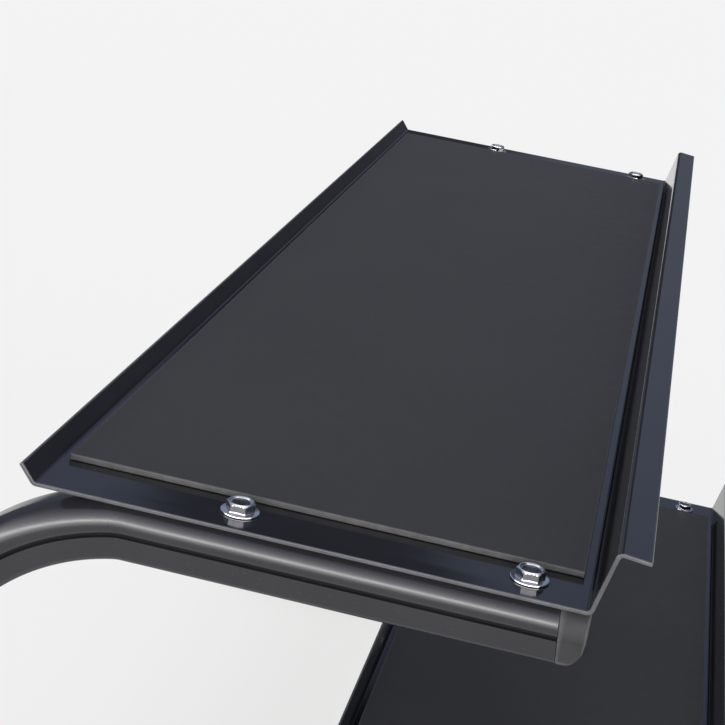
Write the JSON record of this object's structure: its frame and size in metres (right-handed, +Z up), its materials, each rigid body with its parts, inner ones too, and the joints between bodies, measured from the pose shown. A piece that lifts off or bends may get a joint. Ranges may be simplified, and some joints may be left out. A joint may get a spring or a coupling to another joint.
{
  "type": "dumbbell rack",
  "caption": "Free-standing tiered dumbbell rack with bent-tube side frames, folded steel trays, rubber mats and a foot rail under each side.",
  "frame": {"origin": "centre of the footprint, on the floor", "axes": "+X along the rack, -Y the front that the user stands at, +Z up"},
  "size_m": [1.562, 0.757, 0.8264],
  "materials": {
    "tray_coat": "glossy black powder coat, smooth",
    "tube_coat": "semi-gloss black powder coat",
    "mat_rubber": "matte dark grey, fine pebble grain",
    "bolt_chrome": "bright plated",
    "zinc_steel": "zinc plated",
    "cap_plastic": "moulded grey, fine texture",
    "foot_rubber": "moulded black rubber"
  },
  "bodies": {
    "rack": {"upper_tray": "tray_coat", "upper_mat": "mat_rubber", "upper_tray_rib": "tube_coat", "upper_arm_tube_left": "tube_coat", "upper_arm_cap_left": "cap_plastic", "upper_tray_bolt_left_back": "bolt_chrome", "upper_tray_nut_left_back": "zinc_steel", "upper_tray_bolt_left_front": "bolt_chrome", "upper_tray_nut_left_front": "zinc_steel", "upper_arm_tube_right": "tube_coat", "upper_arm_cap_right": "cap_plastic", "upper_tray_bolt_right_back": "bolt_chrome", "upper_tray_nut_right_back": "zinc_steel", "upper_tray_bolt_right_front": "bolt_chrome", "upper_tray_nut_right_front": "zinc_steel", "lower_tray": "tray_coat", "lower_mat": "mat_rubber", "lower_tray_rib": "tube_coat", "lower_arm_tube_left": "tube_coat", "lower_arm_cap_left": "cap_plastic", "lower_tray_bolt_left_back": "bolt_chrome", "lower_tray_nut_left_back": "zinc_steel", "lower_tray_bolt_left_front": "bolt_chrome", "lower_tray_nut_left_front": "zinc_steel", "lower_arm_tube_right": "tube_coat", "lower_arm_cap_right": "cap_plastic", "lower_tray_bolt_right_back": "bolt_chrome", "lower_tray_nut_right_back": "zinc_steel", "lower_tray_bolt_right_front": "bolt_chrome", "lower_tray_nut_right_front": "zinc_steel", "foot_rail_left": "tube_coat", "foot_cap_left_front": "cap_plastic", "foot_lock_nut_left_front": "zinc_steel", "foot_weld_nut_left_front": "zinc_steel", "crossbar_bolt_left_front": "zinc_steel", "crossbar_nut_left_front": "zinc_steel", "foot_cap_left_rear": "cap_plastic", "foot_lock_nut_left_rear": "zinc_steel", "foot_weld_nut_left_rear": "zinc_steel", "crossbar_bolt_left_rear": "zinc_steel", "crossbar_nut_left_rear": "zinc_steel", "crossbar_plate_left": "tube_coat", "foot_rail_right": "tube_coat", "foot_cap_right_front": "cap_plastic", "foot_lock_nut_right_front": "zinc_steel", "foot_weld_nut_right_front": "zinc_steel", "crossbar_bolt_right_front": "zinc_steel", "crossbar_nut_right_front": "zinc_steel", "foot_cap_right_rear": "cap_plastic", "foot_lock_nut_right_rear": "zinc_steel", "foot_weld_nut_right_rear": "zinc_steel", "crossbar_bolt_right_rear": "zinc_steel", "crossbar_nut_right_rear": "zinc_steel", "crossbar_plate_right": "tube_coat", "base_crossbar": "tube_coat"},
    "foot_left_front": {"levelling_foot_left_front": "foot_rubber"},
    "foot_left_rear": {"levelling_foot_left_rear": "foot_rubber"},
    "foot_right_front": {"levelling_foot_right_front": "foot_rubber"},
    "foot_right_rear": {"levelling_foot_right_rear": "foot_rubber"}
  },
  "joints": [
    {"name": "foot_left_front_screw", "type": "slide", "parent": "rack", "child": "foot_left_front", "axis": [0, 0, -1], "range_m": [0, 0.01]},
    {"name": "foot_left_rear_screw", "type": "slide", "parent": "rack", "child": "foot_left_rear", "axis": [0, 0, -1], "range_m": [0, 0.01]},
    {"name": "foot_right_front_screw", "type": "slide", "parent": "rack", "child": "foot_right_front", "axis": [0, 0, -1], "range_m": [0, 0.01]},
    {"name": "foot_right_rear_screw", "type": "slide", "parent": "rack", "child": "foot_right_rear", "axis": [0, 0, -1], "range_m": [0, 0.01]}
  ]
}
